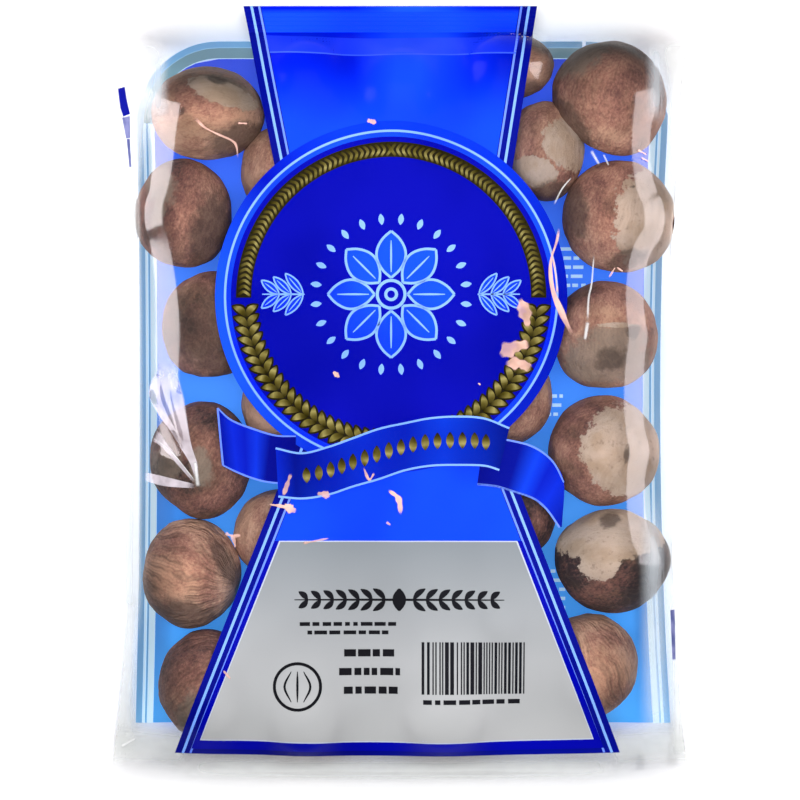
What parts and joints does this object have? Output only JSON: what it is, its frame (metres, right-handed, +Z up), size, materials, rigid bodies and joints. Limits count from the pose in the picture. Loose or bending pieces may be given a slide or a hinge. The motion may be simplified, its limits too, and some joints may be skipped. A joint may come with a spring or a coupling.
{
  "type": "bag of betel nuts",
  "caption": "Sealed clear pillow bag with a blue printed band, lumpy with a layer of whole dried nuts, lying flat on its back.",
  "frame": {"origin": "on the surface that the bag lies on, under the middle of the bag", "axes": "+Z up, out of the printed front; +Y along the bag to its top seal; +X to the right of the printed front"},
  "size_m": [0.154, 0.207, 0.025],
  "materials": {
    "clear_film": "thin clear plastic film, glossy, drawn over the nuts with small creases",
    "nut_shell": "dry brown nut surface, fine ridges, with paler bare patches",
    "blue_print": "bright blue ink on film, glossy",
    "deep_blue_print": "deep blue ink on film, glossy",
    "sky_blue_print": "sky blue ink on the back film, glossy",
    "pale_print": "pale blue outline ink",
    "silver_print": "silver grey ink, satin",
    "gold_print": "dull gold ink",
    "black_print": "black ink"
  },
  "bodies": {
    "root": {"sealed_bag": "clear_film"}
  },
  "joints": []
}
